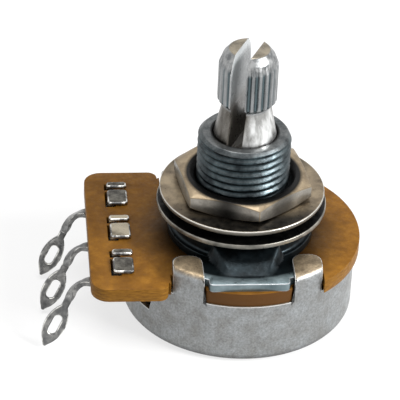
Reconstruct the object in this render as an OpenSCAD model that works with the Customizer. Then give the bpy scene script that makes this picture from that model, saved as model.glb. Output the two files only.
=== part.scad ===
// Rotary potentiometer, 24 mm body, solder lugs, split splined shaft.
// Origin: centre of the can's flat bottom, on the shaft's axis. The lugs point towards -X.

/* [Can] */
// Outer radius of the can
can_r = 12; // [11:0.25:13]
// Height of the can's rim above its flat bottom
can_h = 6.9; // [6.6:0.1:8]
// Thickness of the can's sheet, also of its tabs and its stop tang
can_t = 0.5; // [0.4:0.05:0.6]
// Outer radius of the drawn bottom edge
can_edge_r = 1; // [0.8:0.1:1.4]
// Distance from an outer terminal's middle to the window's side, at the rim
window_side = 1.5; // [1.3:0.1:1.8]
// How far the window's sides lean in by the sill, each side
window_lean = 0.65; // [0.3:0.05:1]
// Distance from the sill of the window up to the rim
window_h = 3.6; // [3.2:0.1:3.8]
// Width of the stop tang bent in from the sill
tang_w = 2.4; // [2:0.1:3]
// Length of the stop tang, in from the wall
tang_l = 2.7; // [2.4:0.1:3]

/* [Tabs] */
// Turn of a tab's middle from the Y axis, round the can
tab_a = 30.2; // [30:0.2:31.6]
// Width of a tab
tab_w = 3; // [2.6:0.1:3.4]
// Reach of a folded tab over the plate, from the can's outside
tab_l = 5.1; // [4:0.1:5.3]
// Corner radius of a tab's tip
tab_tip_r = 1.2; // [0.6:0.1:1.2]
// Inner radius of a tab's fold
tab_fold_r = 0.3; // [0.2:0.05:0.4]

/* [Wafer] */
// How far the wafer's round side stands out past the can
wafer_lip = 0.45; // [0.3:0.05:1]
// Thickness of the wafer
wafer_t = 1.5; // [1.2:0.1:2]
// How far the wafer's edge between two tabs lies inside the can's outline
waist_in = 0.15; // [0:0.05:0.4]
// How far the ear's straight edge stands out past the can
ear_out = 3.75; // [3.25:0.25:5]
// Distance from an outer terminal's middle to the ear's side
ear_side = 4.55; // [4.4:0.05:5.8]
// Distance from a tab to the ear's shoulder
shoulder_gap = 0.45; // [0.3:0.05:0.7]
// Corner radius of the ear
ear_r = 1.8; // [1:0.1:2.2]
// Corner radius of the ear's shoulders
shoulder_r = 1; // [0.5:0.1:1.2]

/* [Bushing plate] */
// Thickness of the bushing plate's sheet
plate_t = 0.9; // [0.7:0.1:1]
// How far the end of the plate's tongue lies inside the can's outline
tongue_in = 0.6; // [0.2:0.1:1]
// How far a foot reaches in past the tips of its tabs
foot_in = 0.5; // [0.2:0.1:0.8]
// Width of the flat rim round the boss
boss_rim = 0.5; // [0.3:0.05:0.6]
// Gap between the tongue and the tab on either side of it
tongue_gap = 0.45; // [0.3:0.05:0.8]
// Radius of the drawn boss at its top
boss_r = 7; // [6.8:0.05:7.1]
// Height of the mounting surface above the plate's feet
boss_h = 1.5; // [1.3:0.1:2]
// Radius of the boss's drawn top edge
boss_edge_r = 0.5; // [0.2:0.05:0.6]
// Half width of a pressed rib at the boss
rib_top_w = 3.5; // [3:0.1:3.8]
// Half width of a pressed rib at its foot
rib_foot_w = 2.1; // [1.8:0.1:2.6]
// Length of a pressed rib, out from the boss
rib_l = 3; // [2.6:0.1:3.4]

/* [Bushing] */
// Outer radius of the 3/8-32 thread
thread_r = 4.7625; // [4.7625:0.25:5.0125]
// Pitch of the thread, 32 turns to the inch
thread_pitch = 0.79375; // [0.6:0.01:1]
// Depth of the thread, per side
thread_depth = 0.41; // [0.35:0.01:0.45]
// Length of the bushing above the mounting surface
bushing_h = 9.45; // [9:0.05:12]
// Running clearance of the shaft in the bushing, per side
bearing_gap = 0.045; // [0.03:0.005:0.06]
// Length and height of the chamfer at the bushing's top
bushing_chamfer = 0.5; // [0.3:0.05:0.6]
// Step from the thread's root in to the spigot, which is staked into the plate
spigot_in = 0.15; // [0.05:0.05:0.3]
// How far the staked collar spreads under the plate
collar_lip = 1; // [0.8:0.05:1.1]
// Thickness of the staked collar
collar_t = 0.6; // [0.4:0.05:0.7]

/* [Shaft] */
// Radius of the shaft in the bushing
shaft_r = 3.175; // [3.15:0.005:3.18]
// Distance from the mounting surface to the shaft's end
shaft_l = 19.05; // [18:0.05:25]
// Radius over the splines
spline_r = 3; // [2.9:0.05:3.1]
// Number of splines
spline_n = 24; // [18:2:30]
// Depth of a spline
spline_depth = 0.25; // [0.2:0.01:0.3]
// Length of the splined head
spline_l = 6.15; // [5.5:0.05:7]
// Radius of the neck below the splined head
neck_r = 2.48; // [2.4:0.02:2.6]
// Length of the short neck
neck_l = 0.3; // [0.2:0.05:0.6]
// Chamfer at the shaft's end
shaft_chamfer = 0.75; // [0.4:0.05:0.8]
// Width of the slot that splits the head
slot_w = 1.6; // [1.2:0.05:1.8]
// Depth of the slot from the shaft's end
slot_depth = 9.2; // [8:0.1:9.4]
// Direction of the slot, turned from +X
slot_a = 64; // [0:1:179]
// Depth of the groove for the retaining ring
groove_depth = 0.775; // [0.6:0.025:0.9]
// Step from the shaft in to its flatted lower end
tail_in = 0.575; // [0.4:0.025:0.7]
// Depth of each of the two flats on the lower end
flat_depth = 0.5; // [0.3:0.05:0.7]

/* [Retaining ring] */
// Width of the retaining ring, from the groove out
ring_w = 2.1; // [1.8:0.1:2.3]
// Thickness of the retaining ring
ring_t = 0.6; // [0.5:0.05:0.7]
// Width of the retaining ring's mouth
ring_mouth = 3.2; // [2.6:0.1:3.6]

/* [Rotor] */
// Electrical travel of the shaft, from stop to stop, in degrees
travel = 300; // [280:5:310]
// Gap between the driver's disc and the can's wall
driver_gap = 1.3; // [1.1:0.05:1.6]
// Thickness of the driver's disc
driver_t = 1; // [0.8:0.1:1.2]
// Wall of the driver's hub round the shaft's lower end
hub_t = 1.8; // [1.4:0.1:2.2]
// Gap between the stop lug and the can's wall
stop_gap = 0.35; // [0.25:0.05:0.5]
// Radial depth of the stop lug
stop_depth = 1.85; // [1.6:0.05:2]
// Number of moulded ribs under the driver's disc
driver_ribs = 6; // [4:1:8]
// Thickness of a moulded rib
driver_rib_t = 0.8; // [0.6:0.1:1.2]
// Height of a moulded rib
driver_rib_h = 0.8; // [0.5:0.1:0.9]
// Depth of the stop lug below the stop tang
lug_drop = 0.5; // [0.3:0.1:0.8]
// Thickness of the driver's floor under the shaft
hub_floor_t = 0.4; // [0.3:0.05:0.8]
// Height that the wiper leaves between the driver and the terminals
brush_h = 0.8; // [0.7:0.05:1]
// Thickness of the wiper's spring sheet
wiper_t = 0.25; // [0.2:0.05:0.3]
// Width of each wiper finger
finger_w = 0.8; // [0.6:0.05:0.9]
// Length of a finger's foot and of its tip, along the arm
finger_l = 0.9; // [0.8:0.05:1]
// Width of the wiper's collar round the shaft
wiper_collar_w = 1; // [0.8:0.1:1.2]

/* [Track] */
// Distance from the can's wall in to the resistance track
track_edge = 1.1; // [1:0.05:1.3]
// Width of the resistance track
track_w = 2.4; // [2.2:0.05:2.6]
// Half angle of the gap between the track's ends
track_gap_a = 34; // [30:1:36]
// Width of the collector ring, out from the wafer's hole
collector_w = 1.4; // [1.2:0.05:1.5]
// Half angle of a silver pad at the track's end
end_pad_a = 3.5; // [2:0.5:5]
// How far an end pad's lead lies inside the outer terminal's middle
end_lead_in = 0.3; // [0.2:0.05:0.4]
// Width of an end pad's lead
end_lead_w = 2.6; // [2:0.1:2.8]
// Thickness of the printed layers
print_t = 0.1; // [0.05:0.01:0.15]

/* [Terminals] */
// Distance between two terminals
term_pitch = 6.2; // [6:0.05:6.3]
// Thickness of the terminals' sheet
term_t = 0.5; // [0.4:0.05:0.6]
// Width of a terminal's strip
strip_w = 1.1; // [0.9:0.05:1.3]
// Offset of the strip from the terminal's middle, along Y
strip_y = -0.45; // [-0.6:0.05:0]
// Distance from the ear's edge in to the middle of the clinched tangs
clinch_in = 3.35; // [3.1:0.05:3.5]
// Length of the clinched tangs along X
clinch_l = 2.1; // [1.8:0.05:2.3]
// Thickness of the clinched tangs, pressed flat
clinch_t = 0.4; // [0.3:0.05:0.5]
// Width of the broad clinched tang
pad_w = 2.6; // [2.2:0.1:2.8]
// Offset of the broad clinched tang from the terminal's middle
pad_y = -0.6; // [-0.8:0.05:-0.4]
// Width of the narrow clinched tang
bar_w = 0.9; // [0.7:0.05:1]
// Offset of the narrow clinched tang from the terminal's middle
bar_y = 1.7; // [1.6:0.05:1.8]
// Radius of the strip's bend beside the ear, to its middle
arch_r = 2; // [1.6:0.1:2.2]
// Angle between the hanging lug and the vertical
lug_a = 28; // [22:1:34]
// Sideways lean of the lugs
lug_lean = 20.5; // [10:0.5:24]
// Length of the quarter twist above the lug
twist_l = 1.1; // [0.9:0.1:1.3]
// Length of the needle-eye lug
lug_l = 5.2; // [4.4:0.1:5.2]
// Length of the neck above the needle-eye lug's lens
lug_neck = 0.2; // [0:0.1:0.6]
// Width of the needle-eye lug
lug_w = 2.2; // [1.9:0.05:2.5]
// Width of the eye
eye_w = 0.9; // [0.7:0.05:1.1]
// Length of the eye
eye_l = 2.1; // [1.8:0.1:2.4]

/* [Nut and washers] */
// Distance across the nut's flats
nut_af = 12.7; // [12.5:0.1:14.3]
// Thickness of the nut
nut_t = 2; // [1.6:0.1:2.4]
// Slope of the chamfer on the nut's corners
nut_chamfer_a = 20; // [15:1:24]
// Turn of the nut's first corner from +X
nut_turn = -21.6; // [-60:0.1:0]
// Radius of the flat washer
flat_r = 8.65; // [8:0.05:8.9]
// Thickness of the flat washer
flat_t = 0.6; // [0.5:0.05:0.8]
// Radius of the lock washer
lock_r = 8.7; // [8.4:0.05:9]
// Width of the lock washer's ring, outside its teeth
lock_rim = 1.5; // [1.3:0.05:1.7]
// Thickness of the lock washer
lock_t = 0.5; // [0.4:0.05:0.6]
// Number of the lock washer's teeth
tooth_n = 10; // [8:1:12]
// Width of a lock washer tooth
tooth_w = 2.3; // [2:0.05:2.5]
// How far a tooth's root reaches into the ring
tooth_root = 0.3; // [0.2:0.05:0.6]
// Twist of a lock washer tooth out of the ring's plane
tooth_a = 55; // [45:1:58]

/* [Fits] */
// Running clearance between moving and fixed pieces
run_gap = 0.1; // [0.05:0.01:0.15]
// Clearance of a loose hole round what passes through it
loose_gap = 0.2; // [0.1:0.05:0.3]
// Clearance between two pieces that are assembled by hand
fit_gap = 0.05; // [0.02:0.01:0.1]

/* [Hidden] */
$fn = 96;
eps = 0.01;
over = 1;
far = 40;

// Radii that follow from the can, from the inside out
wall_r = can_r - can_t;
lug_out_r = wall_r - stop_gap;
lug_in_r = lug_out_r - stop_depth;
driver_r = wall_r - driver_gap;
track_out_r = wall_r - track_edge;
track_in_r = track_out_r - track_w;
tang_in_r = wall_r - tang_l;

// Radii that follow from the shaft and the thread
bore_r = shaft_r + bearing_gap;
groove_r = shaft_r - groove_depth;
ring_r = groove_r + ring_w;
tail_r = shaft_r - tail_in;
tail_flats = 2 * (tail_r - flat_depth);
hub_r = tail_r + hub_t;
root_r = thread_r - thread_depth;
spigot_r = root_r - spigot_in;
collar_r = spigot_r + collar_lip;
wafer_hole_r = collar_r + loose_gap;
collector_r = wafer_hole_r + collector_w;
lock_ring_r = lock_r - lock_rim;

// Plan sizes of the tabs, the wafer and the plate
tab_x = can_r * sin(tab_a);
tab_tip = can_r - tab_l;
wafer_r = can_r + wafer_lip;
wafer_waist_r = can_r - waist_in;
ear_x = can_r + ear_out;
ear_w = term_pitch + ear_side;
ear_shoulder = tab_x + tab_w / 2 + shoulder_gap;
foot_r = wall_r - tab_fold_r;
plate_x = tab_x + tab_w / 2 - fit_gap;
tongue_y = can_r - tongue_in;
tongue_w = tab_x - tab_w / 2 - tongue_gap;
rib_reach = boss_r + rib_l;
clinch_x = ear_x - clinch_in;
end_lead_y = term_pitch - end_lead_in;
window_w = term_pitch + window_side;

// Heights of the stack, from the floor of the can up
wafer_z = can_h;
plate_z = wafer_z + wafer_t;
foot_z = plate_z + plate_t;
mount_z = foot_z + boss_h;
boss_under_z = mount_z - plate_t;
collar_z = boss_under_z - collar_t;
ring_z = collar_z - run_gap - ring_t;
tooth_h = tooth_w * sin(tooth_a) + lock_t * cos(tooth_a);
flat_z = mount_z + tooth_h;
nut_z = flat_z + flat_t;
nut_top_z = nut_z + nut_t;
bushing_top_z = mount_z + bushing_h;
shaft_top_z = mount_z + shaft_l;
head_z = shaft_top_z - spline_l;
cone_z = head_z - neck_l;
slot_z = shaft_top_z - slot_depth;
sill_z = can_h - window_h;

// Heights inside the can
print_z = wafer_z - print_t;
term_z = print_z - term_t;
driver_z = can_t + run_gap;
disc_top_z = term_z - brush_h;
disc_z = disc_top_z - driver_t;
tail_top_z = disc_top_z;
lug_z = sill_z - can_t - lug_drop;
tail_bottom_z = driver_z + hub_floor_t;

// A terminal's base, along Y from the terminal's middle
base_low = pad_y - pad_w / 2;
base_w = bar_y + bar_w / 2 - base_low;

// Angles round the stop: half of the tang, half of the lug, and a little play
tang_half_a = asin(tang_w / 2 / lug_in_r);
stop_play_a = 0.4;
lug_half_a = 180 - travel / 2 - tang_half_a - stop_play_a;

// A pie slice round the direction `mid`, half angle `half`, for cutting rings
module sector(mid, half, r = far) {
    steps = max(2, ceil(half / 15));
    polygon(concat([[0, 0]], [for (i = [-steps : steps])
        let (a = mid + half * i / steps, k = 1 / cos(half / steps / 2)) [r * k * cos(a), r * k * sin(a)]]));
}

module ring2d(outer, inner) {
    difference() {
        circle(outer);
        circle(inner);
    }
}

// A rectangle with round corners, by its lower corner and its size
module round_rect(x, y, w, h, r) {
    translate([x + r, y]) square([w - 2 * r, h]);
    translate([x, y + r]) square([w, h - 2 * r]);
    for (cx = [x + r, x + w - r], cy = [y + r, y + h - r]) translate([cx, cy]) circle(r);
}

// The cup's half section: straight wall, round bottom edge
module cup_section(r, z, top, edge) {
    translate([0, z]) square([r - edge, top - z]);
    translate([0, z + edge]) square([r, top - z - edge]);
    intersection() {
        translate([r - edge, z + edge]) circle(edge);
        translate([0, z]) square([r, top - z]);
    }
}

// Half section of a tab: up the wall, round the fold, and in over the plate
module tab_section() {
    fold_out_r = tab_fold_r + can_t;
    fold_x = can_r - fold_out_r;
    tab_z = foot_z - tab_fold_r;
    translate([wall_r, can_h - can_t]) square([can_t, tab_z - can_h + can_t]);
    translate([0, foot_z]) square([fold_x, can_t]);
    intersection() {
        translate([fold_x, tab_z]) ring2d(fold_out_r, tab_fold_r);
        translate([fold_x, tab_z]) square(fold_out_r + eps);
    }
}

// Plan of a tab on the +Y side, with its round tip towards the middle
module tab_plan(x) {
    translate([x - tab_w / 2, tab_tip + tab_tip_r]) square([tab_w, can_r]);
    translate([x - tab_w / 2 + tab_tip_r, tab_tip]) square([tab_w - 2 * tab_tip_r, can_r]);
    for (s = [-1, 1]) translate([x + s * (tab_w / 2 - tab_tip_r), tab_tip + tab_tip_r]) circle(tab_tip_r);
}

// The terminal window, seen along X: wider at the rim than at the sill
module window_plan() {
    sill_w = window_w - window_lean;
    polygon([[-window_w, can_h + over], [-window_w, can_h], [-sill_w, sill_z],
             [sill_w, sill_z], [window_w, can_h], [window_w, can_h + over]]);
}

module can() color("silver") {
    difference() {
        rotate_extrude() difference() {
            cup_section(can_r, 0, can_h, can_edge_r);
            cup_section(wall_r, can_t, can_h + over, can_edge_r - can_t);
        }
        rotate([90, 0, -90]) linear_extrude(far) window_plan();
    }
    for (flip = [0, 1], x = [-tab_x, tab_x]) mirror([0, flip, 0]) intersection() {
        rotate_extrude() tab_section();
        linear_extrude(far) tab_plan(x);
    }
    // Stop tang, bent in level with the sill
    translate([-wall_r - can_t / 2, -tang_w / 2, sill_z - can_t])
        cube([wall_r + can_t / 2 - tang_in_r, tang_w, can_t]);
}

// Notch for one tab on the +Y side
module tab_notch(x) {
    notch = tab_w + 2 * loose_gap;
    difference() {
        translate([x - notch / 2, 0]) square([notch, far]);
        circle(wall_r - loose_gap);
    }
}

module wafer_plan() {
    difference() {
        union() {
            circle(wafer_r);
            round_rect(-ear_x, -ear_w, ear_x - ear_shoulder, 2 * ear_w, ear_r);
            round_rect(ear_r - ear_x, -ear_w, ear_x - ear_r - ear_shoulder, 2 * ear_w, shoulder_r);
        }
        for (flip = [0, 1]) mirror([0, flip]) {
            for (x = [-tab_x, tab_x]) tab_notch(x);
            difference() {
                translate([-tab_x, 0]) square([2 * tab_x, far]);
                circle(wafer_waist_r);
            }
        }
        circle(wafer_hole_r);
    }
}

// The slots that a terminal's legs pass through
module clinch_slots(y) {
    for (leg = [[pad_y, pad_w], [bar_y, bar_w]])
        translate([-clinch_x - clinch_l / 2 - fit_gap, y + leg[0] - leg[1] / 2 - fit_gap])
            square([term_t + 2 * fit_gap, leg[1] + 2 * fit_gap]);
}

module wafer() color("saddlebrown") translate([0, 0, wafer_z]) linear_extrude(wafer_t) difference() {
    wafer_plan();
    for (k = [-1 : 1]) clinch_slots(k * term_pitch);
}

// Plan of the plate without its boss: two feet with tongues, and the ring below the boss
module plate_plan() {
    intersection() {
        circle(foot_r);
        for (flip = [0, 1]) mirror([0, flip])
            translate([-plate_x, tab_tip - foot_in]) square([2 * plate_x, far]);
    }
    translate([-tongue_w, -tongue_y]) square([2 * tongue_w, 2 * tongue_y]);
    circle(boss_r + boss_rim);
}

// A pressed rib on the +Y side, as a trapezoid in plan cut by a slope from the side
module press_rib(top_z, in_w, out_w, reach, drop_z) {
    intersection() {
        linear_extrude(far) polygon([[-in_w, 0], [in_w, 0], [in_w, boss_r], [out_w, reach],
                                     [-out_w, reach], [-in_w, boss_r]]);
        rotate([90, 0, 90]) linear_extrude(far, center = true)
            polygon([[0, drop_z], [reach, drop_z], [boss_r, top_z], [0, top_z]]);
    }
}

module bushing_plate() color("slategray") difference() {
    // A wall of the sheet's thickness square to the slope leaves this much less inside
    inset = plate_t * 0.6;
    union() {
        translate([0, 0, plate_z]) linear_extrude(plate_t) plate_plan();
        translate([0, 0, mount_z]) mirror([0, 0, 1]) rotate_extrude()
            cup_section(boss_r, 0, mount_z - plate_z, boss_edge_r);
        for (flip = [0, 1]) mirror([0, flip, 0])
            press_rib(mount_z, rib_top_w, rib_foot_w, rib_reach, foot_z - eps);
    }
    translate([0, 0, plate_z - over]) cylinder(h = boss_under_z - plate_z + over, r = boss_r - plate_t);
    for (flip = [0, 1]) mirror([0, flip, 0])
        press_rib(boss_under_z, rib_top_w - inset, rib_foot_w - inset, rib_reach - inset, plate_z - over);
    cylinder(h = far, r = spigot_r);
}

// Half section of the thread above the nut, as rings of 60 degree ridges with flat crests
module thread_section() {
    flank = thread_depth * tan(30);
    root_w = thread_pitch / 4;
    turns = ceil((bushing_top_z - nut_top_z) / thread_pitch);
    square([root_r, bushing_top_z]);
    for (i = [0 : turns - 1]) translate([root_r, nut_top_z + i * thread_pitch])
        polygon([[-eps, root_w / 2], [0, root_w / 2], [thread_depth, root_w / 2 + flank],
                 [thread_depth, thread_pitch - root_w / 2 - flank], [0, thread_pitch - root_w / 2],
                 [-eps, thread_pitch - root_w / 2]]);
}

// Half section of the bushing's blank, before its thread
module blank_section() {
    polygon([[bore_r, collar_z], [collar_r, collar_z], [collar_r, boss_under_z], [spigot_r, boss_under_z],
             [spigot_r, mount_z], [thread_r, mount_z],
             [thread_r, bushing_top_z - bushing_chamfer], [thread_r - bushing_chamfer, bushing_top_z],
             [bore_r + loose_gap, bushing_top_z], [bore_r, bushing_top_z - loose_gap]]);
}

module threaded_bushing() color("slategray") rotate_extrude() difference() {
    blank_section();
    difference() {
        translate([root_r, mount_z]) square([far, far]);
        thread_section();
    }
}

// Half section of the shaft, from its flatted end to its splined head
module shaft_section() {
    polygon([
        [0, tail_bottom_z], [tail_r, tail_bottom_z], [tail_r, tail_top_z], [shaft_r, tail_top_z],
        [shaft_r, ring_z - fit_gap], [groove_r, ring_z - fit_gap],
        [groove_r, ring_z + ring_t + fit_gap], [shaft_r, ring_z + ring_t + fit_gap],
        [shaft_r, bushing_top_z], [neck_r, cone_z], [neck_r, head_z], [spline_r, head_z + spline_r - neck_r],
        [spline_r, shaft_top_z - shaft_chamfer], [spline_r - shaft_chamfer, shaft_top_z], [0, shaft_top_z]]);
}

// One groove between two splines, with sloping flanks
module spline_groove() {
    // A quarter of the pitch wide at the root, half at the crest, on to a little past it
    root_w = PI * spline_r / spline_n / 4;
    base_r = spline_r - spline_depth;
    mouth_r = spline_r + spline_depth / 2;
    polygon([[base_r, -root_w], [base_r, root_w], [mouth_r, 2.5 * root_w], [mouth_r, -2.5 * root_w]]);
}

module shaft() color("lightgray") difference() {
    rotate_extrude() shaft_section();
    translate([0, 0, head_z - eps]) linear_extrude(far)
        for (i = [0 : spline_n - 1]) rotate(slot_a + (i + 0.5) * 360 / spline_n) spline_groove();
    rotate(slot_a) translate([-far / 2, -slot_w / 2, slot_z]) cube([far, slot_w, far]);
    // Two flats that drive the rotor
    for (s = [0, 180]) rotate(s)
        translate([-far / 2, tail_flats / 2, 0]) cube([far, far, tail_top_z]);
}

module retaining_ring() color("gray") translate([0, 0, ring_z]) linear_extrude(ring_t) difference() {
    circle(ring_r);
    circle(groove_r);
    translate([0, -ring_mouth / 2]) square([far, ring_mouth]);
}

// The double-D end of the shaft, seen from above
module tail_plan() {
    intersection() {
        circle(tail_r);
        square([far, tail_flats], center = true);
    }
}

module rotor_driver() color("dimgray") difference() {
    union() {
        translate([0, 0, disc_z]) cylinder(h = driver_t, r = driver_r);
        translate([0, 0, driver_z]) cylinder(h = disc_z + driver_t - driver_z, r = hub_r);
        translate([0, 0, lug_z]) linear_extrude(disc_top_z - lug_z) intersection() {
            ring2d(lug_out_r, lug_in_r);
            sector(0, lug_half_a);
        }
        for (i = [0 : driver_ribs - 1]) rotate((i + 0.5) * 360 / driver_ribs)
            translate([hub_r - eps, -driver_rib_t / 2, disc_z - driver_rib_h])
                cube([lug_in_r - hub_r - driver_rib_t, driver_rib_t, driver_rib_h + eps]);
    }
    translate([0, 0, tail_bottom_z]) linear_extrude(far) tail_plan();
}

// A bent finger of spring sheet, seen from the side: foot, upright and a blunt tip
module finger_section(tip_z) {
    half = finger_l / 2;
    polygon([[-half, 0], [half, 0], [half, tip_z - wiper_t], [half / 2, tip_z], [0, tip_z],
             [half - wiper_t, tip_z - 2 * wiper_t], [half - wiper_t, wiper_t], [-half, wiper_t]]);
}

// Spring contact: a collar on the driver, two fingers on the track and one on the collector
module wiper_contact() color("gold") {
    collar_in_r = shaft_r + loose_gap;
    track_mid = (track_in_r + track_out_r) / 2;
    collector_mid = (collector_r + wafer_hole_r) / 2;
    arm_w = 3 * finger_w;
    translate([0, 0, disc_top_z]) linear_extrude(wiper_t) difference() {
        union() {
            circle(collar_in_r + wiper_collar_w);
            translate([0, -arm_w / 2]) square([track_mid + finger_l / 2, arm_w]);
        }
        circle(collar_in_r);
    }
    for (arm = [[track_mid, finger_w], [track_mid, -finger_w], [collector_mid, 0]])
        translate([arm[0], arm[1], disc_top_z]) rotate([90, 0, 0])
            linear_extrude(finger_w, center = true) finger_section(print_z - fit_gap - disc_top_z);
}

// Cuts the openings that a terminal's legs pass through out of a print
module print_layer(ys) {
    translate([0, 0, print_z]) linear_extrude(print_t) difference() {
        children();
        for (y = ys) clinch_slots(y);
    }
}

module resistance_track() color("black") translate([0, 0, print_z]) linear_extrude(print_t) difference() {
    ring2d(track_out_r, track_in_r);
    sector(180, track_gap_a);
}

// Plan of the printed lead over a terminal's base: a broad patch and a lead inwards from it
module lead_plan(y, in_x, lead_y, lead_w) {
    translate([-clinch_x - clinch_l / 2, y + base_low]) square([clinch_l, base_w]);
    translate([-clinch_x, lead_y - lead_w / 2]) square([clinch_x - in_x, lead_w]);
}

// Silver end pads, printed between the track's ends and the outer terminals
module track_end_pads() color("lightgray") print_layer([-term_pitch, term_pitch])
    for (side = [-1, 1]) {
        intersection() {
            ring2d(track_out_r + loose_gap, track_in_r);
            sector(180 - side * (track_gap_a - end_pad_a), end_pad_a);
        }
        difference() {
            lead_plan(side * term_pitch, track_in_r, side * end_lead_y, end_lead_w);
            circle(track_out_r);
        }
    }

module collector_ring() color("lightgray") print_layer([0]) difference() {
    union() {
        circle(collector_r);
        lead_plan(0, wafer_hole_r, strip_y, strip_w);
    }
    circle(wafer_hole_r);
}

// Outline of the needle-eye lug, from its neck at the origin down to its point
module lug_plan() {
    // Two arcs that meet in the point give the lens round the eye
    half_w = lug_w / 2;
    half_l = (lug_l - lug_neck) / 2;
    arc_r = (half_l * half_l + half_w * half_w) / lug_w;
    eye_y = half_l - lug_l;
    difference() {
        union() {
            intersection_for(s = [-1, 1]) translate([s * (arc_r - half_w), eye_y]) circle(arc_r);
            translate([-strip_w / 2, eye_y + eye_l / 2]) square([strip_w, eps - eye_y - eye_l / 2]);
        }
        for (s = [-1, 1]) translate([0, eye_y + s * (eye_l - eye_w) / 2]) circle(eye_w / 2);
        translate([-eye_w / 2, eye_y - (eye_l - eye_w) / 2]) square([eye_w, eye_l - eye_w]);
    }
}

// The part of a terminal outside the ear, in its own upright plane: strip, bend, twist and lug
module terminal_tail() {
    turn = 90 - lug_a;
    rotate([90, 0, 0]) translate([0, -arch_r, 0]) rotate_extrude_arc(turn);
    translate([-arch_r * sin(turn), 0, -arch_r * (1 - cos(turn))]) rotate([0, lug_a, 0]) {
        translate([0, 0, eps]) rotate([180, 0, 0])
            linear_extrude(twist_l, twist = 90, slices = 8, segments = 8, $fn = 8)
                square([term_t, strip_w], center = true);
        translate([0, 0, -twist_l + 2 * eps]) rotate([90, 0, 0])
            linear_extrude(term_t, center = true) lug_plan();
    }
}

// The bend, from the top of the arch round to `turn` degrees
module rotate_extrude_arc(turn) {
    rotate([0, 0, 90]) rotate_extrude(angle = turn)
        translate([arch_r - term_t / 2, -strip_w / 2]) square([term_t, strip_w]);
}

module terminal(y) {
    strip_mid = y + strip_y;
    leg_x = -clinch_x - clinch_l / 2;
    color("gainsboro") {
        // Base under the wafer and the strip out to the ear's edge
        translate([leg_x, y + base_low, term_z]) cube([clinch_l, base_w, term_t]);
        translate([-ear_x, strip_mid - strip_w / 2, term_z]) cube([ear_x - clinch_x, strip_w, term_t]);
        // Legs through the wafer, clinched over its top
        for (leg = [[pad_y, pad_w], [bar_y, bar_w]]) {
            translate([leg_x, y + leg[0] - leg[1] / 2, term_z])
                cube([term_t, leg[1], plate_z - term_z + clinch_t]);
            translate([leg_x, y + leg[0] - leg[1] / 2, plate_z]) cube([clinch_l, leg[1], clinch_t]);
        }
        translate([-ear_x, strip_mid, term_z + term_t / 2]) rotate([-lug_lean, 0, 0]) terminal_tail();
    }
}

module terminal_left() terminal(-term_pitch);
module terminal_centre() terminal(0);
module terminal_right() terminal(term_pitch);

// One tooth of the lock washer, twisted about its own length
module lock_tooth() {
    rotate([tooth_a, 0, 0]) linear_extrude(lock_t, center = true)
        translate([root_r + loose_gap, -tooth_w / 2])
            square([lock_ring_r - root_r + tooth_root - loose_gap, tooth_w]);
}

module lock_washer() color("silver") translate([0, 0, mount_z + tooth_h / 2]) {
    translate([0, 0, -lock_t / 2]) difference() {
        cylinder(h = lock_t, r = lock_r);
        translate([0, 0, -over]) cylinder(h = lock_t + 2 * over, r = lock_ring_r);
    }
    for (i = [0 : tooth_n - 1]) rotate(i * 360 / tooth_n) lock_tooth();
}

module flat_washer() color("tan") translate([0, 0, flat_z]) difference() {
    cylinder(h = flat_t, r = flat_r);
    translate([0, 0, -over]) cylinder(h = flat_t + 2 * over, r = thread_r + loose_gap);
}

module hex_nut() color("tan") translate([0, 0, nut_z]) {
    half_af = nut_af / 2;
    cut_r = half_af / cos(30) + over;
    drop = (cut_r - half_af) * tan(nut_chamfer_a);
    difference() {
        intersection() {
            rotate(nut_turn) cylinder(h = nut_t, r = half_af / cos(30), $fn = 6);
            rotate_extrude() polygon([[0, 0], [half_af, 0], [cut_r, drop], [cut_r, nut_t - drop],
                                      [half_af, nut_t], [0, nut_t]]);
        }
        translate([0, 0, -over]) cylinder(h = nut_t + 2 * over, r = root_r);
    }
}

can();
wafer();
bushing_plate();
threaded_bushing();
shaft();
retaining_ring();
rotor_driver();
wiper_contact();
resistance_track();
track_end_pads();
collector_ring();
terminal_left();
terminal_centre();
terminal_right();
lock_washer();
flat_washer();
hex_nut();
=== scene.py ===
import math

import bmesh
import bpy
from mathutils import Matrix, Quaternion, Vector


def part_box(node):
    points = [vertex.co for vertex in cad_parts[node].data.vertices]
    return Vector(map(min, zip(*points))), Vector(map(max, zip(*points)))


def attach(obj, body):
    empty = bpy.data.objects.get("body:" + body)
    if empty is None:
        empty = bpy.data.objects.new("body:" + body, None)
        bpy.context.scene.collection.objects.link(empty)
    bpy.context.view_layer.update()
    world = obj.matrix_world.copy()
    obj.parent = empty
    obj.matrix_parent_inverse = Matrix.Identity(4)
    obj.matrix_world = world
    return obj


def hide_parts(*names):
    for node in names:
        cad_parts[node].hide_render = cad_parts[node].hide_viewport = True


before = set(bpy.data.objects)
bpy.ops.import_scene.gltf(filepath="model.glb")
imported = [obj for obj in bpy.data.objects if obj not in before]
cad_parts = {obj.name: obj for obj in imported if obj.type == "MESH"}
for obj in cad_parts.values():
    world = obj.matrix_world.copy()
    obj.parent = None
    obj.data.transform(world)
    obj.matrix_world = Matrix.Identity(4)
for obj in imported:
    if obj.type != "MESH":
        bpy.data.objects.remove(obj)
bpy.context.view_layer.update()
print("frame loaded")

# Pieces are modelled in millimetres, and finishPiece brings them to metres
mm = 0.001
turnSteps = 192  # faces round a turned piece
weldGap = 0.004  # points closer than this become one
over = 1.0  # how far a cutting tool stands past what it cuts
overlap = 0.1  # how far pieces to be joined run into each other
nudge = 0.01  # keeps two faces from lying in one plane


def nodeBox(node):
    low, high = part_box(node)
    return low / mm, high / mm


canLow, canHigh = nodeBox("can")
waferLow, waferHigh = nodeBox("wafer")
plateLow, plateHigh = nodeBox("bushing_plate")
bushingLow, bushingHigh = nodeBox("threaded_bushing")
shaftLow, shaftHigh = nodeBox("shaft")
canRadius = canHigh.x
rimHeight = waferLow.z  # top of the can's wall, where the wafer lies
mountHeight = plateHigh.z  # top of the boss, which meets the panel


# Modelling helpers

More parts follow.
